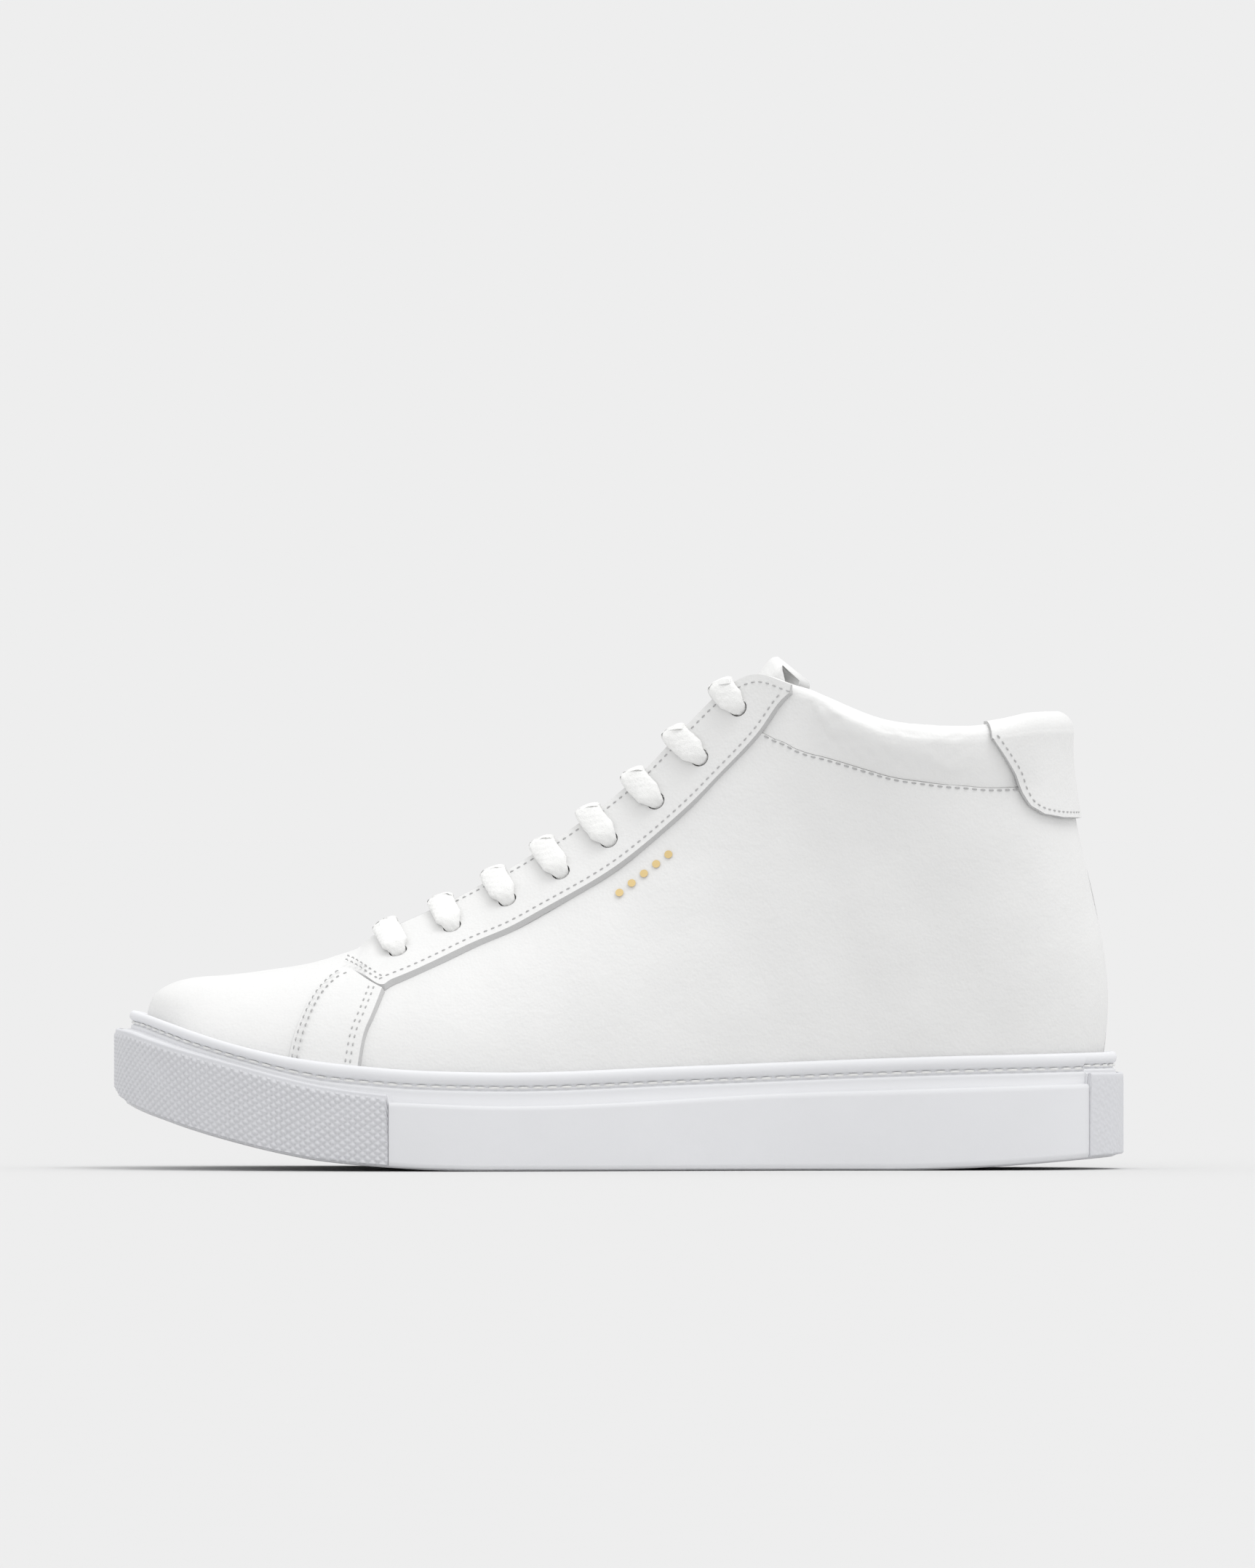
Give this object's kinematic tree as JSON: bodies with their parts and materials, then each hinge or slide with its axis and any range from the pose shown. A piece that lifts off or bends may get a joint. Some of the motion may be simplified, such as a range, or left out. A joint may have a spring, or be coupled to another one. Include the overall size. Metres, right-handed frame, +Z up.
{
  "type": "high-top sneaker",
  "caption": "Lace-up high-top sneaker with a smooth leather upper, padded collar and tongue, and a stitched rubber cupsole with textured toe and heel bumpers.",
  "frame": {"origin": "on the ground, at the middle of the sole's length and width", "axes": "+Z up, +X from the toe to the heel, +Y from the outer side to the inner side of this left shoe"},
  "size_m": [0.3, 0.109, 0.1531],
  "materials": {
    "rubber_cup": "smooth moulded white rubber, satin",
    "rubber_textured": "knurled moulded white rubber, matt",
    "leather_white": "smooth full-grain white leather, soft sheen",
    "lining": "soft off-white lining leather, matt",
    "stiffener": "pressed fibre stiffener, matt",
    "foam": "open-cell foam",
    "midsole_foam": "closed-cell EVA foam, matt",
    "gel_pad": "soft shock-absorbing polyurethane",
    "fibre_board": "cellulose lasting board, matt",
    "footbed_cover": "thin off-white leather, matt",
    "thread": "waxed white polyester thread",
    "lace_cotton": "braided soft white cotton, matt",
    "aglet_plastic": "clear crimped acetate",
    "gold_foil": "thin hot-stamped gold foil"
  },
  "bodies": {
    "shoe": {"outsole_cup": "rubber_cup", "toe_bumper": "rubber_textured", "heel_bumper": "rubber_textured", "foxing_lateral": "rubber_cup", "foxing_medial": "rubber_cup", "sidewall_stitching": "thread", "midsole_filler": "midsole_foam", "heel_pad": "gel_pad", "lasting_board": "fibre_board", "footbed_foam": "midsole_foam", "footbed_cover": "footbed_cover", "vamp": "leather_white", "toe_puff": "stiffener", "vamp_lining": "lining", "side_stay_lateral": "leather_white", "side_stay_medial": "leather_white", "quarter_lateral": "leather_white", "quarter_medial": "leather_white", "quarter_lining_lateral": "lining", "quarter_lining_medial": "lining", "heel_counter": "stiffener", "heel_grip": "lining", "eyestay_lateral": "leather_white", "eyestay_medial": "leather_white", "eyestay_backing_lateral": "stiffener", "eyestay_backing_medial": "stiffener", "collar_cover": "leather_white", "collar_foam": "foam", "heel_tab": "leather_white", "lace": "lace_cotton", "lace_aglets": "aglet_plastic", "foil_mark": "gold_foil"},
    "tongue": {"tongue_outer": "leather_white", "tongue_foam": "foam", "tongue_lining": "lining"}
  },
  "joints": [
    {"name": "tongue_flex", "type": "hinge", "parent": "shoe", "child": "tongue", "pos_m": [-0.0805, 0, 0.0575], "axis": [0, 1, 0], "range_deg": [0, 8], "stiffness_Nm_per_rad": 1, "springref_deg": -2.86}
  ]
}
